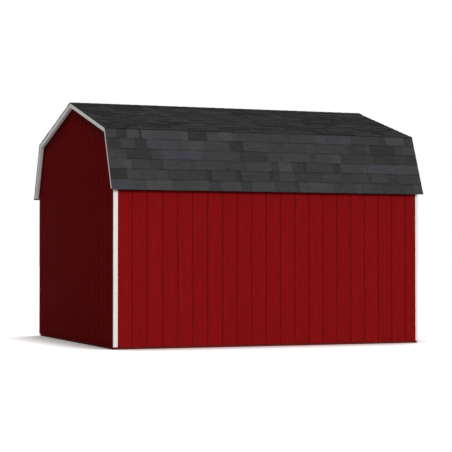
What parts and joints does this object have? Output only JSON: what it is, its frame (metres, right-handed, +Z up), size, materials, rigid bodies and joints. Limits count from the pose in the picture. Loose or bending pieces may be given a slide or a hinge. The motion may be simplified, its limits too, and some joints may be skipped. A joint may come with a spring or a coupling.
{
  "type": "barn shed",
  "caption": "Timber barn shed with grooved red siding, white trim boards, a shingled gambrel roof and a closed double door in the front gable.",
  "frame": {"origin": "on the ground under the middle of the roof", "axes": "+X across the shed, +Y along the ridge from the door end to the back gable, +Z up"},
  "size_m": [3.922, 4.378, 3.266],
  "materials": {
    "framing_lumber": "sawn softwood",
    "sheathing": "sheet wood",
    "red_paint": "painted barn red, satin",
    "white_paint": "painted white, satin",
    "shingle": "mineral granules on asphalt",
    "black_steel": "black, satin"
  },
  "bodies": {
    "root": {"floor_rims": "framing_lumber", "floor_joists": "framing_lumber", "floor_deck": "sheathing", "door_sill": "framing_lumber", "side_plates": "framing_lumber", "side_studs": "framing_lumber", "end_plates": "framing_lumber", "end_studs": "framing_lumber", "gable_studs": "framing_lumber", "door_header": "framing_lumber", "left_siding": "red_paint", "right_siding": "red_paint", "back_siding": "red_paint", "front_left_siding": "red_paint", "front_right_siding": "red_paint", "front_gable_siding": "red_paint", "left_upper_rafters": "framing_lumber", "right_upper_rafters": "framing_lumber", "left_lower_rafters": "framing_lumber", "right_lower_rafters": "framing_lumber", "ridge_gussets": "sheathing", "break_gussets": "sheathing", "left_upper_deck": "sheathing", "right_upper_deck": "sheathing", "left_lower_deck": "sheathing", "right_lower_deck": "sheathing", "left_upper_shingles": "shingle", "right_upper_shingles": "shingle", "left_lower_shingles": "shingle", "right_lower_shingles": "shingle", "ridge_cap": "shingle", "eave_soffits": "red_paint", "eave_returns": "red_paint", "left_upper_rakes": "white_paint", "right_upper_rakes": "white_paint", "left_lower_rakes": "white_paint", "right_lower_rakes": "white_paint", "corner_boards": "white_paint", "left_door_leaf": "red_paint", "right_door_leaf": "red_paint", "door_side_casings": "white_paint", "door_head_casing": "white_paint", "door_hinges": "black_steel", "door_handle": "black_steel"}
  },
  "joints": []
}
